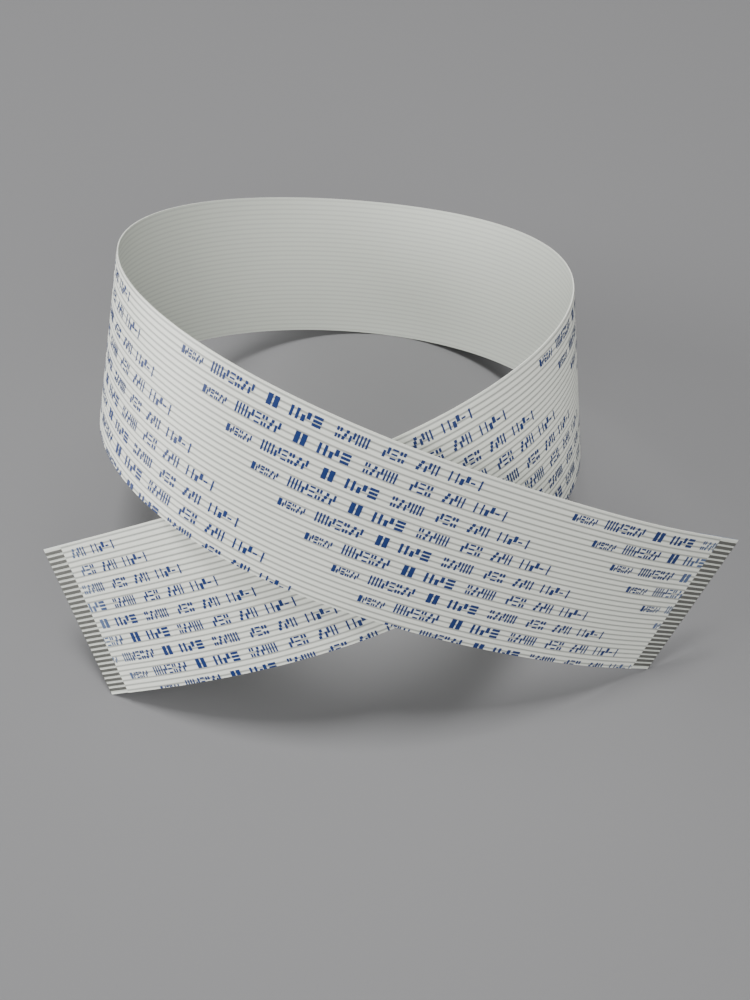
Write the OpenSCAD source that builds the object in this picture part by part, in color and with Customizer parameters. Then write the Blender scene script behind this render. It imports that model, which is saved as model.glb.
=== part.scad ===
// Flat flex cable with 29 conductors at 1.0 mm pitch, stripped and stiffened at both ends.
// The conductors lie side by side between a base film and a ridged cover film.
// The cable is bent into one open loop and its two tails cross in front of it.
// It stands on three points: the lower corner of each tail and the lower edge at the back.
// Units are millimetres. Z is up, X runs from one tail's lower corner to the other's,
// and the origin is the bottom centre of the whole cable.

/* [Conductors] */
// Number of flat conductors side by side
conductor_count = 29; // [26:1:29]
// Distance between the centres of two neighbouring conductors
pitch = 1.0; // [0.95:0.05:1.1]
// Width of one conductor
conductor_w = 0.6; // [0.4:0.05:0.75]
// Thickness of one conductor with its tin plating
conductor_t = 0.10; // [0.05:0.01:0.12]
// Distance from the centre of an outer conductor to the edge of the film
margin = 1.0; // [0.9:0.1:1.2]

/* [Films] */
// Thickness of the base film with its adhesive
base_film_t = 0.06; // [0.04:0.01:0.08]
// Thickness of the cover film with its adhesive, beside a conductor
cover_film_t = 0.04; // [0.03:0.01:0.06]
// Height by which the cover film stands up over each conductor
ridge_h = 0.04; // [0.01:0.01:0.06]
// Width of the strip along each edge where the two films are bonded
bond_w = 0.5; // [0.2:0.05:0.5]
// Number of strips across the films where they lie on the conductors
film_strips = 8; // [4:1:12]

/* [Ends] */
// Length over which the conductors are bare at each end
contact_len = 4.5; // [3:0.5:6]
// Length of the stiffener at each end, which stays flat
stiffener_len = 10; // [8:0.5:11]
// Thickness of the stiffener
stiffener_t = 0.14; // [0.1:0.01:0.2]

/* [Length] */
// Length of the cable when it is laid out flat
cable_len = 400; // [396:1:410]

/* [Hidden] */
function conductor_name(i) = str("conductor_", i < 10 ? "0" : "", i);

// The route, as stations at equal steps from tail A round the loop to tail B.
// bend is how far the cable turns in its own plane of bending over one step, in degrees.
bend = [2.5, 8, 16, 24, 25.5, 24.5, 26.5, 28.5, 27, 26,
        26.5, 26, 26.5, 28, 25.5, 22.5, 16, 8, 7, 12];
// twist is how far it rolls about its own centre line over one step, in degrees.
twist = [0, 3.5, 5.5, 6, 6.5, 7, 7, 6, 4, 1,
         -2, -3.5, -4.5, -5.5, -5, -2.5, -0.5, 0.5, 1, 0];

width = (conductor_count - 1) * pitch + 2 * margin;
half_w = width / 2;
route_step = (cable_len - 2 * stiffener_len) / (len(bend) - 1);

// Stations at which a section of the cable is taken, closer together round the loop.
loop_first = 2;
loop_last = 17;
loop_sections = 25;
tail_gap = 0.5;
section_stations = concat(
    [for (u = [0 : tail_gap : loop_first - tail_gap]) u],
    [for (i = [0 : loop_sections]) loop_first + i * (loop_last - loop_first) / loop_sections],
    [for (u = [loop_last + tail_gap : tail_gap : len(bend) - 1]) u]
);
section_x = concat(
    [0, contact_len],
    [for (u = section_stations) stiffener_len + u * route_step],
    [cable_len - contact_len, cable_len]
);

// Value of a table at a place x along the cable, per millimetre. The ends are flat.
function rate(table, x) =
    let (u = (x - stiffener_len) / route_step, i = min(floor(u), len(table) - 2), f = u - i)
    u < 0 || u > len(table) - 1 ? 0 : (table[i] * (1 - f) + table[i + 1] * f) / route_step;

// Vector v turned about a unit axis.
function turned(v, axis, angle) =
    v * cos(angle) + cross(axis, v) * sin(angle) + axis * (axis * v) * (1 - cos(angle));

// A frame is [centre, along, inward, across]. It moves dx on, bends about across and rolls
// about along, so the sheet is never stretched.
function moved(f, x, dx) =
    let (
        b = rate(bend, x + dx / 2) * dx,
        t = rate(twist, x + dx / 2) * dx,
        angle = norm([b, t]),
        axis = angle > 0 ? (f[1] * t + f[3] * b) / angle : f[3],
        along = turned(f[1], axis, angle)
    )
    [f[0] + (f[1] + along) * dx / 2, along, turned(f[2], axis, angle), turned(f[3], axis, angle)];

substeps = 10;
function advanced(f, x, dx, n) = n == 0 ? f : advanced(moved(f, x, dx), x + dx, dx, n - 1);
start_frame = [[0, 0, 0], [1, 0, 0], [0, 1, 0], [0, 0, 1]];
free_frames = [
    for (
        k = 0, f = start_frame;
        k < len(section_x);
        f = k + 1 < len(section_x)
            ? advanced(f, section_x[k], (section_x[k + 1] - section_x[k]) / substeps, substeps)
            : f,
        k = k + 1
    ) f
];

// A bent sheet is straight along its rulings. Each section follows one, and slant is how far
// that ruling runs along the cable for each millimetre across it.
function slant(x) = rate(bend, x) > 0 ? rate(twist, x) / rate(bend, x) : 0;
free_rulings = [
    for (k = [0 : len(section_x) - 1])
        free_frames[k][3] + free_frames[k][1] * slant(section_x[k])
];

// The table plane touches the lower corner of each tail and the lower edge of the loop.
last = len(section_x) - 1;
free_lower = [for (k = [0 : last]) free_frames[k][0] - free_rulings[k] * half_w];
x_axis = (free_lower[last] - free_lower[0]) / norm(free_lower[last] - free_lower[0]);
function off_axis(p) = let (d = p - free_lower[0]) d - x_axis * (d * x_axis);
loop_middle = off_axis(free_frames[floor(last / 2)][0]);
back = loop_middle / norm(loop_middle);
above = cross(x_axis, back);
tilt = min([
    for (k = [0 : last])
        let (d = off_axis(free_lower[k]))
        if (d * back > half_w) atan2(d * above, d * back)
]);
y_axis = back * cos(tilt) + above * sin(tilt);
z_axis = cross(x_axis, y_axis);
function set_down(v) = [v * x_axis, v * y_axis, v * z_axis];

// Placed sections, each [centre, ruling, outward], before the cable is centred.
sections = [
    for (k = [0 : last])
        [set_down(free_frames[k][0]), set_down(free_rulings[k]), -set_down(free_frames[k][2])]
];
function on_section(s, v, h) = s[0] + s[1] * v + s[2] * h;

// Heights above the inner face of the base film, towards the printed side.
conductor_bottom = base_film_t;
conductor_top = conductor_bottom + conductor_t;
valley_top = conductor_top + cover_film_t;
ridge_top = valley_top + ridge_h;

// Outermost points of each section, which centre the cable and bring it down to Z = 0.
extremes = [
    for (k = [0 : last], side = [-1, 1])
        let (
            stiffened = k < 3 || k > last - 3,
            covered = k > 0 && k < last,
            edge = side * half_w,
            outer_conductor = side * (half_w - margin)
        )
        each [
            on_section(sections[k], edge, stiffened ? -stiffener_t : 0),
            on_section(sections[k], edge, covered ? valley_top : base_film_t),
            on_section(sections[k], outer_conductor, covered ? ridge_top : conductor_top)
        ]
];
function lowest(axis) = min([for (p = extremes) p[axis]]);
function highest(axis) = max([for (p = extremes) p[axis]]);
origin = [(lowest(0) + highest(0)) / 2, (lowest(1) + highest(1)) / 2, lowest(2)];

// All sections but the two where the cover film ends, and those of the cover film alone.
whole_run = [for (k = [0 : last]) if (k != 1 && k != last - 1) sections[k]];
covered_run = [for (k = [1 : last - 1]) sections[k]];

// Solid swept through the sections of a run. The profile is a list of [across, height].
module strip(run, profile) {
    n = len(profile);
    ends = (len(run) - 1) * n;
    translate(-origin)
        polyhedron(
            points = [for (s = run, p = profile) on_section(s, p[0], p[1])],
            faces = concat(
                [[for (i = [0 : n - 1]) i]],
                [
                    for (k = [0 : len(run) - 2], i = [0 : n - 1])
                        let (a = k * n + i, b = k * n + (i + 1) % n)
                        each [[a, a + n, b + n], [a, b + n, b]]
                ],
                [[for (i = [n - 1 : -1 : 0]) ends + i]]
            )
        );
}

function conductor_v(i) = ((conductor_count + 1) / 2 - i) * pitch;

// Points from one side to the other at one height, so a face follows the bent conductors.
function across_at(from, to, h) = [
    for (j = [0 : film_strips]) [from + (to - from) * j / film_strips, h]
];

module base_film()
    color([0.88, 0.89, 0.87])
        strip(whole_run, concat(
            [[-half_w, 0], [half_w, 0]],
            across_at(half_w, -half_w, base_film_t)
        ));

// The outer face rises over each conductor and falls between two. The inner face lies on the
// conductors, and steps down to the base film in the bonded strip along each edge.
module cover_film()
    color([0.93, 0.93, 0.90])
        strip(covered_run, concat(
            [[-half_w, conductor_bottom], [-half_w + bond_w, conductor_bottom]],
            across_at(-half_w + bond_w, half_w - bond_w, conductor_top),
            [
                [half_w - bond_w, conductor_bottom], [half_w, conductor_bottom],
                [half_w, valley_top]
            ],
            [
                for (i = [1 : conductor_count])
                    each [
                        [conductor_v(i), ridge_top],
                        [i < conductor_count ? conductor_v(i + 0.5) : -half_w, valley_top]
                    ]
            ]
        ));

module conductor(i) {
    v = conductor_v(i);
    w = conductor_w / 2;
    color([0.62, 0.62, 0.60])
        strip(whole_run, [
            [v - w, conductor_bottom], [v + w, conductor_bottom],
            [v + w, conductor_top], [v - w, conductor_top]
        ]);
}

// Flat plate on the back of an end, from place x0 to place x1 seen from section k.
module stiffener(k, x0) {
    along = set_down(free_frames[k][1]);
    inward = set_down(free_frames[k][2]);
    across = set_down(free_frames[k][3]);
    at = sections[k][0] - origin;
    color([0.16, 0.36, 0.68])
        multmatrix([
            [along[0], inward[0], across[0], at[0]],
            [along[1], inward[1], across[1], at[1]],
            [along[2], inward[2], across[2], at[2]],
            [0, 0, 0, 1]
        ])
            translate([x0, 0, -half_w])
                cube([stiffener_len, stiffener_t, width]);
}

module stiffener_a() stiffener(0, 0);

module stiffener_b() stiffener(last, -stiffener_len);

base_film();
cover_film();
stiffener_a();
stiffener_b();
for (i = [1 : conductor_count])
    conductor(i);
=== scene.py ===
# %% [markdown]
# # A flat flex cable, bent into one loop
# The real cable is a laminate. Flat tinned conductors lie side by side between a smooth base
# film and a cover film that rises over each of them. Both ends are stripped and stiffened.
# Everything here is worked out on the same bent sheet that the CAD source uses.

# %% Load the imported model
import math

import bpy
import numpy as np
from mathutils import Matrix


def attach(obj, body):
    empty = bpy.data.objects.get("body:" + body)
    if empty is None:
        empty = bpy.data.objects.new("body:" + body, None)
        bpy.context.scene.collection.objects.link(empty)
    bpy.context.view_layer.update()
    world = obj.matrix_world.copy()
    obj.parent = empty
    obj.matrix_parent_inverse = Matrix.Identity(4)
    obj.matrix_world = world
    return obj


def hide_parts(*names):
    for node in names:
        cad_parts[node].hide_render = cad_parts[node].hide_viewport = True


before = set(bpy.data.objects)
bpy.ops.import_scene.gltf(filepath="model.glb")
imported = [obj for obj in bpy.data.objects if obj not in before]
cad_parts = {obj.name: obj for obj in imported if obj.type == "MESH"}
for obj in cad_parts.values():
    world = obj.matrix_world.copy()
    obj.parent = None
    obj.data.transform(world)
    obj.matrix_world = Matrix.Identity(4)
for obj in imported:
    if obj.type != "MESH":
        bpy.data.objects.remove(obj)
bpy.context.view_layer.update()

# %% [markdown]
# ## The camera
# The cable is seen from above and in front. The camera is placed by the point it looks at, how
# steeply it looks down, which way it is turned and how far it is rolled. Its matrix is then put
# together from three unit vectors, which is clearer than chaining three rotations.

# %% Place the camera
MM = 0.001
CAMERA_TARGET = np.array([-1.2, -9.7, 0.0]) * MM
CAMERA_DISTANCE = 182 * MM
CAMERA_DOWN = math.radians(58.2)
CAMERA_TURN = math.radians(-0.9)
CAMERA_ROLL = math.radians(-3.6)
CAMERA_LENS = 31.1


def camera_axes(down, turn, roll):
    """Unit vectors to the right, up and towards the scene: a level camera, then rolled."""
    ahead = np.array(
        [math.sin(turn) * math.cos(down), math.cos(turn) * math.cos(down), -math.sin(down)]
    )
    right = np.array([math.cos(turn), -math.sin(turn), 0.0])
    up = np.cross(right, ahead)
    return (
        right * math.cos(roll) + up * math.sin(roll),
        up * math.cos(roll) - right * math.sin(roll),
        ahead,
    )


camera = bpy.data.objects.new("camera", bpy.data.cameras.new("camera"))
bpy.context.scene.collection.objects.link(camera)
right, up, ahead = camera_axes(CAMERA_DOWN, CAMERA_TURN, CAMERA_ROLL)
camera_matrix = np.eye(4)
camera_matrix[:3, 0], camera_matrix[:3, 1], camera_matrix[:3, 2] = right, up, -ahead
camera_matrix[:3, 3] = CAMERA_TARGET - ahead * CAMERA_DISTANCE
camera.matrix_world = Matrix(camera_matrix.tolist())
camera.data.lens = CAMERA_LENS
camera.data.sensor_width = 36
camera.data.clip_start, camera.data.clip_end = 0.01, 10
bpy.context.scene.camera = camera
print("camera at, mm:", (camera_matrix[:3, 3] / MM).round(1))

# %% [markdown]
# ## The route of the cable
# A flat cable bends easily but can't stretch, so its shape is a developable sheet. It is set by
# two rates along the centre line: how fast it bends, and how fast it rolls about its own line.
# The tables and sizes repeat those of the CAD source, in millimetres and degrees.

# %% Sizes and route tables
CABLE_LEN, HALF_W = 400.0, 15.0
CONDUCTORS, PITCH, CONDUCTOR_W = 29, 1.0, 0.6
MARGIN, BOND_W = 1.0, 0.5
BASE_T, CONDUCTOR_T, COVER_T, RIDGE_H = 0.06, 0.10, 0.04, 0.04
CONTACT_LEN, STIFFENER_LEN, STIFFENER_T = 4.5, 10.0, 0.14
CONDUCTOR_TOP = BASE_T + CONDUCTOR_T
VALLEY_TOP = CONDUCTOR_TOP + COVER_T

BEND = np.radians(
    [2.5, 8, 16, 24, 25.5, 24.5, 26.5, 28.5, 27, 26, 26.5, 26, 26.5, 28, 25.5, 22.5, 16, 8, 7, 12]
)
TWIST = np.radians(
    [0, 3.5, 5.5, 6, 6.5, 7, 7, 6, 4, 1, -2, -3.5, -4.5, -5.5, -5, -2.5, -0.5, 0.5, 1, 0]
)
ROUTE_STEP = (CABLE_LEN - 2 * STIFFENER_LEN) / (len(BEND) - 1)


def rate(table, x):
    """Value of a route table at x, per millimetre: lines between stations, 0 in the ends."""
    u = (np.asarray(x, float) - STIFFENER_LEN) / ROUTE_STEP
    inside = (u >= 0) & (u <= len(table) - 1)
    return np.where(inside, np.interp(u, np.arange(len(table)), table), 0.0) / ROUTE_STEP


def slant(x):
    """How far the ruling at x runs along the cable per millimetre across: roll / bend."""
    bend = rate(BEND, x)
    return np.divide(rate(TWIST, x), bend, out=np.zeros_like(bend), where=bend > 0)


print("width, mm:", 2 * HALF_W, "and step between stations, mm:", ROUTE_STEP)

# %% [markdown]
# ## Walking along the centre line
# A frame of three unit vectors is carried along: along, inward and across. Each small step turns
# it about one axis, by the bend and the roll of that step, with Rodrigues' formula. The walk goes
# in order, so it is a loop over steps, while every surface later is whole arrays.

# %% Carry a frame from one end to the other
WALK = 0.5


def turned(vectors, axis, angle):
    """Rodrigues: v cos a + (axis x v) sin a + axis (axis . v)(1 - cos a), for each row v."""
    c, s = math.cos(angle), math.sin(angle)
    return vectors * c + np.cross(axis, vectors) * s + np.outer(vectors @ axis, axis) * (1 - c)


walk_x = np.arange(0, CABLE_LEN + WALK / 2, WALK)
middle = walk_x[:-1] + WALK / 2
turns = np.stack([rate(TWIST, middle) * WALK, rate(BEND, middle) * WALK], 1)
centre, axes = np.zeros(3), np.eye(3)
centres, frames = [centre], [axes]
for roll, bend in turns:
    angle = math.hypot(roll, bend)
    axis = (axes[0] * roll + axes[2] * bend) / angle if angle > 0 else axes[2]
    after = turned(axes, axis, angle)
    centre = centre + (axes[0] + after[0]) * WALK / 2
    axes = after
    centres.append(centre)
    frames.append(axes)
centres, frames = np.array(centres), np.array(frames)
rulings = frames[:, 2] + frames[:, 0] * slant(walk_x)[:, None]
print("total turn of the loop, degrees:", round(math.degrees(turns[:, 1].sum()), 1))

# %% [markdown]
# ## Setting the cable down
# The cable stands on three points: the lower corner of each tail, and the lower edge at the back
# of the loop. The table plane goes through the first two and is tilted until it touches the third.
# Then the cable is centred, so that it lies exactly where its CAD solids are.

# %% Find the table plane and the origin
LOOP_FIRST, LOOP_LAST, LOOP_SECTIONS, TAIL_GAP = 2, 17, 25, 0.5
loop_gap = (LOOP_LAST - LOOP_FIRST) / LOOP_SECTIONS
stations = np.concatenate(
    [
        np.arange(0, LOOP_FIRST, TAIL_GAP),
        LOOP_FIRST + loop_gap * np.arange(LOOP_SECTIONS + 1),
        np.arange(LOOP_LAST + TAIL_GAP, len(BEND) - 1 + TAIL_GAP, TAIL_GAP),
    ]
)
section_x = np.concatenate(
    [
        [0, CONTACT_LEN],
        STIFFENER_LEN + stations * ROUTE_STEP,
        [CABLE_LEN - CONTACT_LEN, CABLE_LEN],
    ]
)


def along_walk(table, x):
    """Rows of a table of the walk, read between its steps."""
    return np.stack([np.interp(x, walk_x, table[:, i]) for i in range(3)], -1)


lower = along_walk(centres, section_x) - along_walk(rulings, section_x) * HALF_W
x_axis = (lower[-1] - lower[0]) / np.linalg.norm(lower[-1] - lower[0])


def off_axis(points):
    """What is left of each point, from tail A's corner, after its part along the X axis is gone."""
    from_corner = points - lower[0]
    return from_corner - (from_corner @ x_axis)[..., None] * x_axis


back = off_axis(along_walk(centres, section_x[(len(section_x) - 1) // 2]))
back /= np.linalg.norm(back)
above = np.cross(x_axis, back)
rise = off_axis(lower)
behind = rise[rise @ back > HALF_W]
tilt = np.arctan2(behind @ above, behind @ back).min()
y_axis = back * math.cos(tilt) + above * math.sin(tilt)
table_axes = np.stack([x_axis, y_axis, np.cross(x_axis, y_axis)])
centres, rulings = centres @ table_axes.T, rulings @ table_axes.T
outwards = -frames[:, 1] @ table_axes.T


def on_ruling(s, v, h):
    """Point on the straight ruling at s, v across and h out from the base film's inner face."""
    return (
        along_walk(centres, s)
        + along_walk(rulings, s) * np.asarray(v)[..., None]
        + along_walk(outwards, s) * np.asarray(h)[..., None]
    )


last = len(section_x) - 1
place = np.arange(last + 1)
stiffened, covered = (place < 3) | (place > last - 3), (place > 0) & (place < last)
corners = np.concatenate(
    [
        on_ruling(section_x, np.full(last + 1, side * across), height)
        for side in (-1, 1)
        for across, height in (
            (HALF_W, np.where(stiffened, -STIFFENER_T, 0)),
            (HALF_W, np.where(covered, VALLEY_TOP, BASE_T)),
            (HALF_W - MARGIN, np.where(covered, VALLEY_TOP + RIDGE_H, CONDUCTOR_TOP)),
        )
    ]
)
low, high = corners.min(0), corners.max(0)
origin = np.array([(low[0] + high[0]) / 2, (low[1] + high[1]) / 2, low[2]])
print("box of the CAD sections, mm:", (high - low).round(2))

# %% [markdown]
# ## Points on the sheet
# Print and straight cuts follow the material and not the rulings. A point of the material, x
# along and v across, lies on the ruling s for which s + slant(s) v = x. That is solved by putting
# each guess for s back into the formula a few times, which settles fast because slants are small.

# %% From material coordinates to space
SETTLE_ROUNDS = 14


def ruling_through(x, v):
    """The ruling s through a material point: s = x - slant(s) v, repeated until it settles."""
    s = np.array(x, float) + np.zeros_like(v)
    for _ in range(SETTLE_ROUNDS):
        s = x - slant(s) * v
    return s


def to_frame(points_mm):
    """From the placed sheet to the row frame, in metres."""
    return (points_mm - origin) * MM


def on_sheet(x, v, h):
    """Row-frame point of a material point x along, v across, h out from the inner face."""
    return to_frame(on_ruling(ruling_through(x, v), v, h))


check = on_sheet(np.array([0, CABLE_LEN]), np.array([-HALF_W, -HALF_W]), np.zeros(2))
print("lower corners of the two tails, mm:", (check / MM).round(2).tolist())

# %% [markdown]
# ## Solids on the sheet
# A film is a solid with a lower and an upper face over the same grid. The grid runs along the
# rulings one way and across the cable the other way. Quads join the points of each face, and
# four walls close it. A UV map holds the material coordinates, so that a pattern can follow the
# cable round its bends.

# %% Helpers that make closed meshes
UV_MAP = "along_and_across"
SHARP = math.radians(40)
FINE = 2.0
COARSE = 2.5


def quads(index):
    """Quads over a grid of vertex numbers: each cell's four corners, in order."""
    cells = [index[:-1, :-1], index[1:, :-1], index[1:, 1:], index[:-1, 1:]]
    return np.stack(cells, -1).reshape(-1, 4)


def shell_faces(rows, columns, count=1):
    """Faces of count closed slabs, each a lower and an upper grid of rows by columns points."""
    index = np.arange(2 * rows * columns).reshape(2, rows, columns)
    bottom, top = index
    walls = [
        np.stack([top[0], bottom[0]]).T,
        np.stack([bottom[-1], top[-1]]).T,
        np.stack([bottom[:, 0], top[:, 0]]).T,
        np.stack([top[:, -1], bottom[:, -1]]).T,
    ]
    one = np.concatenate([quads(top), quads(bottom)[:, ::-1]] + [quads(w) for w in walls])
    step = 2 * rows * columns
    return (one[None] + step * np.arange(count)[:, None, None]).reshape(-1, 4)


def make_piece(name, points, faces, uv=None):
    """A smooth mesh object with sharp edges kept, and its UV map set from one pair per vertex."""
    mesh = bpy.data.meshes.new(name)
    mesh.vertices.add(len(points))
    mesh.vertices.foreach_set("co", np.asarray(points, np.float32).ravel())
    mesh.loops.add(faces.size)
    mesh.loops.foreach_set("vertex_index", faces.astype(np.int32).ravel())
    mesh.polygons.add(len(faces))
    mesh.polygons.foreach_set("loop_start", np.arange(0, faces.size, 4, dtype=np.int32))
    mesh.polygons.foreach_set("use_smooth", np.ones(len(faces), bool))
    mesh.update(calc_edges=True)
    mesh.validate()
    mesh.set_sharp_from_angle(angle=SHARP)
    if uv is not None:
        layer = mesh.uv_layers.new(name=UV_MAP)
        layer.uv.foreach_set("vector", uv[faces.ravel()].astype(np.float32).ravel())
    piece = bpy.data.objects.new(name, mesh)
    bpy.context.scene.collection.objects.link(piece)
    return piece


def slab(name, s, v, low_h, high_h):
    """A closed slab over rulings s and places v. Heights are arrays over that grid."""
    grid_s, grid_v = np.meshgrid(s, v, indexing="ij")
    heights = np.stack([low_h + 0 * grid_v, high_h + 0 * grid_v])
    points = to_frame(on_ruling(grid_s, grid_v, heights))
    uv = np.stack([grid_s + slant(grid_s) * grid_v, grid_v], -1)
    uv = np.broadcast_to(uv, (2, *uv.shape)).reshape(-1, 2)
    return make_piece(name, points.reshape(-1, 3), shell_faces(len(s), len(v)), uv)


# %% [markdown]
# ## The base film
# The base film is the smooth back of the cable and the inside of the loop. The conductors only
# show through it as faint lines, so its mesh is flat across and its material draws the lines as
# painted shade over the gaps between conductors.

# %% Make the base film
whole_s = np.arange(0, CABLE_LEN + FINE / 2, FINE)
BASE_LINES = 61
base_v = np.linspace(-HALF_W, HALF_W, BASE_LINES)
base_film = slab("base_film_sheet", whole_s, base_v, 0.0, BASE_T)
print("base film faces:", len(base_film.data.polygons))

# %% [markdown]
# ## The cover film
# The cover film is printed and ribbed. It lies on top of each conductor and sinks into the gap
# to the next one. Near the ends the press that bonds the stiffener has flattened the ribs. The
# grid across has more lines in the grooves, where the surface turns, than on the flat tops.

# %% Make the cover film
GROOVE_HALF, EDGE_LINE, FILM_SEAM = 0.26, 0.05, 0.002
RIB_LINES = np.array([-0.5, -0.43, -0.36, -0.29, -0.22, 0.0, 0.22, 0.29, 0.36, 0.43])
PRESSED_FROM, PRESSED_OVER = 1.5, 2.5


def ridge(v):
    """Share of the rib height at v: a cosine groove between two conductors, flat on top of them."""
    to_gap = PITCH / 2 - np.abs((v / PITCH + 0.5) % 1 - 0.5) * PITCH
    groove = 0.5 - 0.5 * np.cos(math.pi * np.clip(to_gap / GROOVE_HALF, 0, 1))
    return np.where(np.abs(v) <= HALF_W - MARGIN + PITCH / 2, groove, 0.0)


def pressed(x):
    """How much of the ribs is left at x: none at the ends of the cover, all of it further in."""
    from_end = np.minimum(x, CABLE_LEN - x)
    t = np.clip((from_end - CONTACT_LEN - PRESSED_FROM) / PRESSED_OVER, 0, 1)
    return t * t * (3 - 2 * t)


def cover_top(x, v):
    """Height of the printed face: the valley, plus the rib where it isn't pressed flat."""
    return VALLEY_TOP + RIDGE_H * ridge(v) * pressed(x)


end_s = np.arange(CONTACT_LEN, STIFFENER_LEN, 0.75)
cover_s = np.concatenate(
    [
        end_s,
        np.arange(STIFFENER_LEN, CABLE_LEN - STIFFENER_LEN + 1, COARSE),
        CABLE_LEN - end_s[::-1],
    ]
)
rib_v = (np.arange(CONDUCTORS)[:, None] - (CONDUCTORS - 1) / 2 + RIB_LINES).ravel() * PITCH
rib_edge = CONDUCTORS * PITCH / 2
cover_v = np.concatenate(
    [[-HALF_W, -HALF_W + EDGE_LINE], rib_v, [rib_edge, HALF_W - EDGE_LINE, HALF_W]]
)
grid_s, grid_v = np.meshgrid(cover_s, cover_v, indexing="ij")
top_h = cover_top(grid_s + slant(grid_s) * grid_v, grid_v)
away = np.abs((grid_v / PITCH + 0.5) % 1 - 0.5) * PITCH
on_conductor = (away < CONDUCTOR_W / 2) & (np.abs(grid_v) < HALF_W - BOND_W)
low_h = np.where(on_conductor, CONDUCTOR_TOP, BASE_T + FILM_SEAM)
cover_film = slab("cover_film_sheet", cover_s, cover_v, low_h, top_h)
print("cover film faces:", len(cover_film.data.polygons))

# %% [markdown]
# ## The conductors
# Each conductor is a flat ribbon of tinned copper. All but the stripped ends is hidden between
# the films. The ribbons share one mesh, because each is the same slab moved across.

# %% Make the conductors
conductor_v = ((CONDUCTORS + 1) / 2 - np.arange(1, CONDUCTORS + 1)) * PITCH
EDGE_ROUND, RIBBON_SEAM = 0.03, 0.004
half = CONDUCTOR_W / 2
ribbon_v = np.array([-half, -half + EDGE_ROUND, half - EDGE_ROUND, half])
ribbon_h = CONDUCTOR_TOP - EDGE_ROUND * np.array([1, 0, 0, 1])
ribbon_grid = conductor_v[:, None] + ribbon_v[None]
s_of = np.broadcast_to(whole_s[None, :, None], (CONDUCTORS, len(whole_s), 4))
v_of = np.broadcast_to(ribbon_grid[:, None, :], s_of.shape)
low_of = np.full(s_of.shape, BASE_T + RIBBON_SEAM)
h_of = np.stack([low_of, np.broadcast_to(ribbon_h, s_of.shape)], 1)
s_of, v_of = (np.stack([a, a], 1) for a in (s_of, v_of))
points = to_frame(on_ruling(s_of, v_of, h_of)).reshape(-1, 3)
uv = np.stack([s_of + slant(s_of) * v_of, v_of], -1).reshape(-1, 2)
conductors = make_piece("flat_conductors", points, shell_faces(len(whole_s), 4, CONDUCTORS), uv)
print("conductor faces:", len(conductors.data.polygons))

# %% [markdown]
# ## The stiffeners
# A stiffener is a plate of blue film on the back of each end. It makes the end thick and stiff
# enough to push into a connector.

# %% Make the stiffeners
PLATE_EASE, PLATE_SEAM = 0.04, 0.001


def stiffener(name, start):
    """A flat plate under the base film, from start along the cable, with slightly eased edges."""
    ease = PLATE_EASE
    s = start + np.array([0, ease, *np.linspace(1, 9, 5), STIFFENER_LEN - ease, STIFFENER_LEN])
    v = np.array([-HALF_W, -HALF_W + ease, *np.linspace(-12, 12, 9), HALF_W - ease, HALF_W])
    grid_s, grid_v = np.meshgrid(s, v, indexing="ij")
    to_edge = np.minimum(
        np.minimum(grid_s - s[0], s[-1] - grid_s), np.minimum(grid_v + HALF_W, HALF_W - grid_v)
    )
    eased = ease * (1 - np.clip(to_edge / ease, 0, 1))
    return slab(name, s, v, -STIFFENER_T + eased, -PLATE_SEAM)


stiffener_a = stiffener("stiffener_plate_a", 0.0)
stiffener_b = stiffener("stiffener_plate_b", CABLE_LEN - STIFFENER_LEN)
print("stiffener faces:", len(stiffener_a.data.polygons), len(stiffener_b.data.polygons))

# %% [markdown]
# ## The print
# Rows of small blue marks run along the cover film, each row a little further on than the one
# above. They are plain shapes and say nothing: bars, stacks, steps and blocks. Each mark is a few
# strokes. A shape is given where it starts, its width, its height and how thick a stroke is.

# %% Shapes of the marks
MARK_H, LOW_H, STROKE, BOLD = 1.75, 1.25, 0.30, 0.46


def stroke(x, v, width, height):
    """One patch of ink: from x, to x, from v, to v."""
    return [x, x + width, v, v + height]


def pair(x, w, h, t):
    """Two upright bars."""
    return [stroke(x, 0, t, h), stroke(x + w - t, 0, t, h)]


def stack(x, w, h, t):
    """Three level bars, one over the other."""
    return [stroke(x, v, w, t) for v in (0, (h - t) / 2, h - t)]


def corners_of(x, w, h, _):
    """Four small blocks, one in each corner."""
    side, tall = w * 0.41, h * 0.38
    return [stroke(a, v, side, tall) for a in (x, x + w - side) for v in (0, h - tall)]


def steps(x, w, h, _):
    """Three short level bars that climb from left to right."""
    part, long = h / 3, w * 0.55
    return [stroke(x + k * (w - long) / 2, k * part, long, part * 0.92) for k in range(3)]


def split(x, w, h, _):
    """A low block and a high block, side by side."""
    side = w * 0.44
    return [stroke(x, 0, side, h * 0.62), stroke(x + w - side, h * 0.38, side, h * 0.62)]


# %% Lay out the strings of marks
STRING_STEP, ROW_SHIFT, ROW_STEP, FIRST_ROW, FIRST_STRING = 66.4, 5.77, 3.487, 2.03, 299.0
ROWS, STRINGS_BEFORE, STRINGS_AFTER = 9, 6, 2
MARK_SHARE, CLEAR_EDGE, LEAST_SIZE = 0.78, 0.02, 0.05
# Each group: from, to, how many marks, their height and the thickness of a stroke.
GROUPS = [
    (-0.4, 4.0, 6, LOW_H, STROKE),
    (5.7, 13.3, 7, MARK_H, STROKE),
    (15.6, 17.5, 1, MARK_H + 0.1, 0.82),
    (19.4, 24.5, 3, MARK_H, BOLD),
    (26.7, 31.8, 5, MARK_H, STROKE),
    (34.1, 37.5, 3, MARK_H, STROKE),
    (39.4, 42.8, 3, MARK_H, STROKE),
    (44.6, 47.8, 2, MARK_H, STROKE),
]
SHAPES = [pair, split, stack, corners_of, steps, split, pair]


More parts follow.
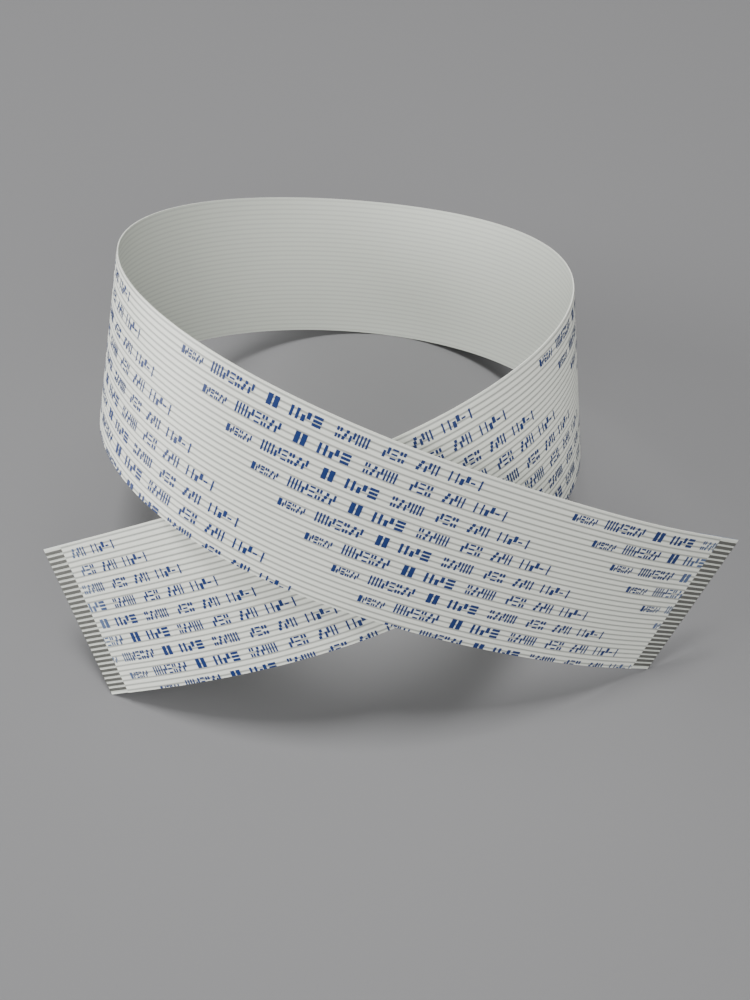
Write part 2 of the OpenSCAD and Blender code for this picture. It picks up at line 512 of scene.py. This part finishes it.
def string_strokes():
    """Strokes of one string, from its start and its row's foot: each group shares its length."""
    strokes, turn = [], 0
    for start, end, count, height, thick in GROUPS:
        advance = (end - start) / (count - 1 + MARK_SHARE)
        for k in range(count):
            shape = SHAPES[turn % len(SHAPES)]
            strokes += shape(start + k * advance, advance * MARK_SHARE, height, thick)
            turn += 1
    strokes += [stroke(48.05, 0.7, 0.75, STROKE), stroke(49.55, 0, STROKE, MARK_H)]
    return np.array(strokes)


one_string = string_strokes()
rows, strings = np.arange(ROWS), np.arange(-STRINGS_BEFORE, STRINGS_AFTER)
row_of, string_of = (a.ravel() for a in np.meshgrid(rows, strings, indexing="ij"))
start_x = FIRST_STRING + string_of * STRING_STEP + row_of * ROW_SHIFT
foot_v = HALF_W - (FIRST_ROW + row_of * ROW_STEP) - MARK_H / 2
boxes = np.tile(one_string, (len(start_x), 1, 1))
boxes[..., :2] += start_x[:, None, None]
boxes[..., 2:] += foot_v[:, None, None]
boxes = boxes.reshape(-1, 4)
covered_from = CONTACT_LEN + CLEAR_EDGE
boxes[:, :2] = boxes[:, :2].clip(covered_from, CABLE_LEN - covered_from)
boxes[:, 2:] = boxes[:, 2:].clip(CLEAR_EDGE - HALF_W, HALF_W - CLEAR_EDGE)
boxes = boxes[(boxes[:, 1] - boxes[:, 0] > LEAST_SIZE) & (boxes[:, 3] - boxes[:, 2] > LEAST_SIZE)]
print("ink strokes:", len(boxes))

# %% [markdown]
# The ink lies on the tops of the ribs and bridges the narrow grooves between them, so a stroke is
# one flat patch with a corner at each end of its two sides.

# %% Put the ink on the film
INK_LIFT = 0.02


def ink_patches(name, boxes):
    """One patch per stroke, lifted just clear of the tops of the ribs."""
    x = np.stack([boxes[:, 0], boxes[:, 1]], 1)[:, :, None] + np.zeros(2)
    v = np.stack([boxes[:, 2], boxes[:, 3]], 1)[:, None, :] + np.zeros((2, 1))
    points = on_sheet(x, v, VALLEY_TOP + RIDGE_H * pressed(x) + INK_LIFT)
    faces = np.array([0, 2, 3, 1]) + 4 * np.arange(len(boxes))[:, None]
    return make_piece(name, points.reshape(-1, 3), faces, np.stack([x, v], -1).reshape(-1, 2))


ink = ink_patches("printed_marks", boxes)
print("ink faces:", len(ink.data.polygons))

# %% [markdown]
# ## The centre line
# The length of the cable is measured along its centre line. The new pieces hang on the root
# body, and the imported CAD pieces are hidden.

PATH_STEP = 5.0
path_s = np.arange(0, CABLE_LEN + 1, PATH_STEP)
path = to_frame(on_ruling(path_s, np.zeros_like(path_s), np.full_like(path_s, CONDUCTOR_TOP / 2)))
path_len = np.linalg.norm(np.diff(path, axis=0), axis=1).sum()
on_cable = [cover_film, conductors, stiffener_a, stiffener_b, ink]
for piece in [base_film, *on_cable]:
    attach(piece, "root")
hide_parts("base_film")
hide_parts("cover_film")
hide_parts(*[f"conductor_{i:02d}" for i in range(1, CONDUCTORS + 1)])
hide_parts("stiffener_a")
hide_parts("stiffener_b")
print("length of the centre line, mm:", round(path_len / MM, 1))

# %% [markdown]
# ## Materials
# The films are white polyester: satin and a little cloudy, with painted shade in the gaps between
# conductors. Patterns read the UV map, which holds millimetres along and across the cable.

# %% Node helpers
def new_material(name, roughness, metallic=0.0, specular=0.5):
    """A material with its Principled shader, and a function that adds and links nodes."""
    material = bpy.data.materials.new(name)
    material.use_nodes = True
    shader = material.node_tree.nodes["Principled BSDF"]
    shader.inputs["Roughness"].default_value = roughness
    shader.inputs["Metallic"].default_value = metallic
    shader.inputs["Specular IOR Level"].default_value = specular
    return material, shader


def add_node(tree, kind, links=(), **settings):
    """Adds a node, sets its properties, and fills inputs from (socket, value or output) pairs."""
    node = tree.nodes.new(kind)
    for key, value in settings.items():
        setattr(node, key, value)
    for socket, value in links:
        if isinstance(value, bpy.types.NodeSocket):
            tree.links.new(value, node.inputs[socket])
        else:
            node.inputs[socket].default_value = value
    return node


def math_node(tree, operation, *values):
    """One Math node. The values are numbers or outputs."""
    node = add_node(tree, "ShaderNodeMath", list(enumerate(values)), operation=operation)
    return node.outputs[0]


# %% [markdown]
# Two effects are shared, so each is a node group. The rib mask tells how far a point is into the
# gap between two conductors. The cloudiness is a soft mottle that keeps white film from looking
# like paint.

# %% Shared node groups
def rib_mask_group():
    """Gap mask: the distance from the nearest conductor's centre, from 0 on it to 1 in the gap."""
    group = bpy.data.node_groups.new("rib mask", "ShaderNodeTree")
    group.interface.new_socket("Across", in_out="INPUT", socket_type="NodeSocketFloat")
    group.interface.new_socket("Start", in_out="INPUT", socket_type="NodeSocketFloat")
    group.interface.new_socket("End", in_out="INPUT", socket_type="NodeSocketFloat")
    group.interface.new_socket("Gap", in_out="OUTPUT", socket_type="NodeSocketFloat")
    group_in, group_out = (add_node(group, k) for k in ("NodeGroupInput", "NodeGroupOutput"))
    phase = math_node(group, "FRACT", math_node(group, "ADD", group_in.outputs["Across"], 100.5))
    away = math_node(group, "ABSOLUTE", math_node(group, "SUBTRACT", phase, 0.5))
    ramp = add_node(
        group,
        "ShaderNodeMapRange",
        [
            ("Value", away),
            ("From Min", group_in.outputs["Start"]),
            ("From Max", group_in.outputs["End"]),
        ],
        interpolation_type="SMOOTHSTEP",
    )
    group.links.new(ramp.outputs[0], group_out.inputs["Gap"])
    return group


def cloud_group():
    """Soft mottle: fractal noise in space, a value near 0.5."""
    group = bpy.data.node_groups.new("film cloud", "ShaderNodeTree")
    group.interface.new_socket("Vector", in_out="INPUT", socket_type="NodeSocketVector")
    group.interface.new_socket("Scale", in_out="INPUT", socket_type="NodeSocketFloat")
    group.interface.new_socket("Cloud", in_out="OUTPUT", socket_type="NodeSocketFloat")
    group_in, group_out = (add_node(group, k) for k in ("NodeGroupInput", "NodeGroupOutput"))
    noise = add_node(
        group,
        "ShaderNodeTexNoise",
        [
            ("Vector", group_in.outputs["Vector"]),
            ("Scale", group_in.outputs["Scale"]),
            ("Detail", 3.0),
        ],
    )
    group.links.new(noise.outputs["Fac"], group_out.inputs["Cloud"])
    return group


RIB_MASK, CLOUD = rib_mask_group(), cloud_group()
print("shared node groups:", RIB_MASK.name, "and", CLOUD.name)


def sheet_coordinates(tree):
    """Along and across, in millimetres, from the piece's own UV map."""
    uv = add_node(tree, "ShaderNodeUVMap", uv_map=UV_MAP)
    split = add_node(tree, "ShaderNodeSeparateXYZ", [("Vector", uv.outputs["UV"])])
    return split.outputs["X"], split.outputs["Y"]


def clouded(tree, scale):
    """The cloudiness group on object coordinates."""
    place = add_node(tree, "ShaderNodeTexCoord")
    group = add_node(tree, "ShaderNodeGroup", node_tree=CLOUD)
    tree.links.new(place.outputs["Object"], group.inputs["Vector"])
    group.inputs["Scale"].default_value = scale
    return group.outputs["Cloud"]


def gap_mask(tree, across, start, end):
    """The rib mask group on the across coordinate."""
    group = add_node(tree, "ShaderNodeGroup", node_tree=RIB_MASK)
    tree.links.new(across, group.inputs["Across"])
    group.inputs["Start"].default_value = start
    group.inputs["End"].default_value = end
    return group.outputs["Gap"]


def mixed(tree, factor, a, b):
    """Mix of two colours by a factor."""
    node = add_node(tree, "ShaderNodeMix", data_type="RGBA")
    for socket, value in (("Factor", factor), ("A", a), ("B", b)):
        target = [i for i in node.inputs if i.name == socket and i.enabled][0]
        if isinstance(value, bpy.types.NodeSocket):
            tree.links.new(value, target)
        else:
            target.default_value = value
    return [o for o in node.outputs if o.enabled][0]


# %% Film, metal, stiffener and ink
FILM_CLOUD, STIFFENER_CLOUD, FLOOR_CLOUD = 60.0, 300.0, 3.0
# GROOVE_SHADE_GREY is the grey of the painted shade in the grooves between conductors.
GAP_FROM, GAP_TO, GROOVE_SHADE_GREY = 0.18, 0.5, (0.30, 0.31, 0.29, 1)


def film_material(name, light, dark, painted_shade_depth, roughness):
    """White film: cloudy between two whites, with painted groove shade over the gaps."""
    material, shader = new_material(name, roughness)
    tree = material.node_tree
    _, across = sheet_coordinates(tree)
    gap = gap_mask(tree, across, GAP_FROM, GAP_TO)
    white = mixed(tree, clouded(tree, FILM_CLOUD), light, dark)
    # Painted shade: the gaps between conductors are mixed towards grey, as shade in the grooves.
    shade = math_node(tree, "MULTIPLY", gap, painted_shade_depth)
    groove_shaded = mixed(tree, shade, white, GROOVE_SHADE_GREY)
    tree.links.new(groove_shaded, shader.inputs["Base Color"])
    return material


cover_white = film_material(
    "cover film white", (0.85, 0.865, 0.785, 1), (0.82, 0.838, 0.755, 1), 0.9, 0.42
)
base_white = film_material(
    "base film white", (0.80, 0.83, 0.755, 1), (0.76, 0.79, 0.715, 1), 0.25, 0.5
)


def tin_material():
    """Tin plating: a dull grey metal with fine streaks along the conductor."""
    material, shader = new_material("tin plating", 0.42, metallic=0.85)
    tree = material.node_tree
    along, across = sheet_coordinates(tree)
    stretched = add_node(
        tree,
        "ShaderNodeCombineXYZ",
        [
            ("X", math_node(tree, "MULTIPLY", along, 0.3)),
            ("Y", math_node(tree, "MULTIPLY", across, 6.0)),
        ],
    )
    streaks = add_node(
        tree, "ShaderNodeTexNoise", [("Vector", stretched.outputs[0]), ("Scale", 2.0)]
    )
    colour = mixed(tree, streaks.outputs["Fac"], (0.17, 0.17, 0.155, 1), (0.27, 0.27, 0.25, 1))
    tree.links.new(colour, shader.inputs["Base Color"])
    return material


def stiffener_material():
    """Blue polyester sheet: even blue with a faint cloud, satin."""
    material, shader = new_material("stiffener blue", 0.38)
    tree = material.node_tree
    cloud = clouded(tree, STIFFENER_CLOUD)
    colour = mixed(tree, cloud, (0.012, 0.05, 0.20, 1), (0.016, 0.065, 0.25, 1))
    tree.links.new(colour, shader.inputs["Base Color"])
    return material


PALE_FROM, PALEST_AT, PALE_SHARE = 11, 5, 0.3


def ink_material():
    """Navy ink, a little paler where the ends were pressed flat."""
    material, shader = new_material("blue ink", 0.5)
    tree = material.node_tree
    along, _ = sheet_coordinates(tree)
    from_middle = math_node(tree, "ABSOLUTE", math_node(tree, "SUBTRACT", along, CABLE_LEN / 2))
    worn = add_node(
        tree,
        "ShaderNodeMapRange",
        [
            ("Value", from_middle),
            ("From Min", CABLE_LEN / 2 - PALE_FROM),
            ("From Max", CABLE_LEN / 2 - PALEST_AT),
            ("To Max", PALE_SHARE),
        ],
        interpolation_type="SMOOTHSTEP",
    )
    blue = mixed(tree, worn.outputs[0], (0.001, 0.022, 0.13, 1), (0.30, 0.40, 0.55, 1))
    tree.links.new(blue, shader.inputs["Base Color"])
    return material


stiffener_blue = stiffener_material()
print("film gap shade, from and to:", GAP_FROM, GAP_TO)
for piece, material in (
    (base_film, base_white),
    (cover_film, cover_white),
    (conductors, tin_material()),
    (stiffener_a, stiffener_blue),
    (stiffener_b, stiffener_blue),
    (ink, ink_material()),
):
    piece.data.materials.append(material)

# %% [markdown]
# ## Floor and light
# A plain pale floor fills the view. A soft light hangs high and a little behind, so the cable
# throws its shadow to the front. A low light from the left brightens the round of the loop, and
# two wide lights at the front fill the rest.

# %% Stage
FLOOR_HALF, FLOOR_LINES = 2.0, 9
floor_grid = np.linspace(-FLOOR_HALF, FLOOR_HALF, FLOOR_LINES)
fx, fy = np.meshgrid(floor_grid, floor_grid, indexing="ij")
floor_points = np.stack([fx, fy, np.zeros_like(fx)], -1).reshape(-1, 3)
floor_index = np.arange(FLOOR_LINES**2).reshape(FLOOR_LINES, FLOOR_LINES)
floor = make_piece("floor", floor_points, quads(floor_index))
floor_material, floor_shader = new_material("floor grey", 0.6, specular=0.3)
floor_tree = floor_material.node_tree
floor_cloud = clouded(floor_tree, FLOOR_CLOUD)
floor_colour = mixed(
    floor_tree, floor_cloud, (0.162, 0.162, 0.165, 1), (0.172, 0.172, 0.175, 1)
)
floor_tree.links.new(floor_colour, floor_shader.inputs["Base Color"])
floor.data.materials.append(floor_material)


def soft_light(name, place, size, power, target=(0, 0, 0.03)):
    """A square area light at a place in metres, turned to face the target."""
    light = bpy.data.lights.new(name, "AREA")
    light.size, light.energy = size, power
    lamp = bpy.data.objects.new(name, light)
    bpy.context.scene.collection.objects.link(lamp)
    direction = np.array(target) - np.array(place)
    direction /= np.linalg.norm(direction)
    side = np.cross(direction, [0, 0, 1.0])
    side /= np.linalg.norm(side)
    matrix = np.eye(4)
    matrix[:3, 0], matrix[:3, 1], matrix[:3, 2] = side, np.cross(side, direction), -direction
    matrix[:3, 3] = place
    lamp.matrix_world = Matrix(matrix.tolist())
    return lamp


soft_light("key light, high behind", (0, 0.3, 1.05), 0.3, 13.0)
soft_light("low light, left", (-1.0, 0, 0.3), 0.8, 17.5)
soft_light("fill light, front", (0, -0.85, 0.8), 1.0, 5.3)
soft_light("fill light, front right", (0.7, -0.7, 0.6), 1.0, 6.1)
world = bpy.data.worlds.new("studio")
bpy.context.scene.world = world
world.use_nodes = True
world.node_tree.nodes["Background"].inputs["Color"].default_value = (0.95, 0.97, 1.0, 1)
world.node_tree.nodes["Background"].inputs["Strength"].default_value = 0.03

print("floor side, m:", 2 * FLOOR_HALF)

# %% Finish
bpy.context.view_layer.update()
